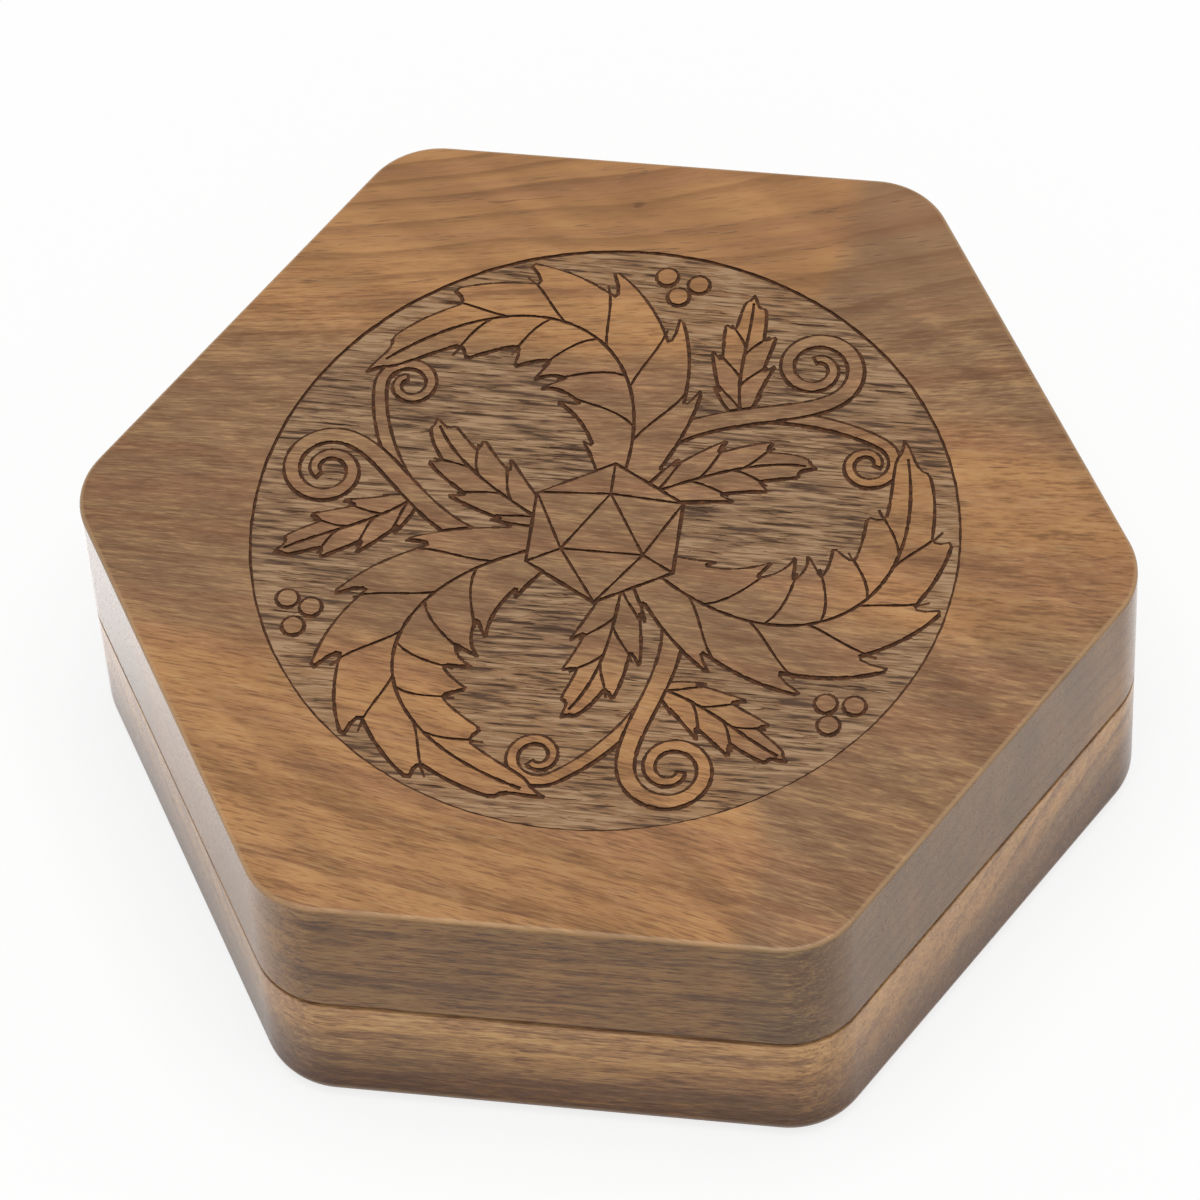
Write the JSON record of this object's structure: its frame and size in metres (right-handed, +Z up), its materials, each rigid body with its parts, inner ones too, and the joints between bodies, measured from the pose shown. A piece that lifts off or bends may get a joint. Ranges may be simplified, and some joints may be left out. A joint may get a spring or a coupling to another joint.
{
  "type": "dice box with hinged lid",
  "caption": "Hexagonal wooden dice box: a hinged lid with a felt-lined rolling tray closes on a base with honeycomb dice pockets, held shut by magnets.",
  "frame": {"origin": "centre of the flat underside of the base", "axes": "+Z up, +X to the right along the front face, -Y out of the front face, +Y towards the hinges"},
  "size_m": [0.1074, 0.0983, 0.035],
  "materials": {
    "walnut_lid": "oiled, satin",
    "walnut_base": "oiled, satin",
    "brass": "brushed",
    "nickel": "nickel plated",
    "felt": "pressed wool felt"
  },
  "bodies": {
    "base": {"base_body": "walnut_base", "hinge_leaf_base_left": "brass", "hinge_leaf_base_right": "brass", "hinge_pin_left": "brass", "hinge_pin_right": "brass", "hinge_screws_base_left": "brass", "hinge_screws_base_right": "brass", "magnet_base_left": "nickel", "magnet_base_right": "nickel", "pocket_pad_centre": "felt", "pocket_pad_right": "felt", "pocket_pad_back_right": "felt", "pocket_pad_back_left": "felt", "pocket_pad_left": "felt", "pocket_pad_front_left": "felt", "pocket_pad_front_right": "felt"},
    "lid": {"lid_body": "walnut_lid", "hinge_leaf_lid_left": "brass", "hinge_leaf_lid_right": "brass", "hinge_screws_lid_left": "brass", "hinge_screws_lid_right": "brass", "magnet_lid_left": "nickel", "magnet_lid_right": "nickel", "lid_liner": "felt"}
  },
  "joints": [
    {"name": "lid_hinge", "type": "hinge", "parent": "base", "child": "lid", "pos_m": [0, 0.04933, 0.0175], "axis": [-1, 0, 0], "range_deg": [0, 180]}
  ]
}
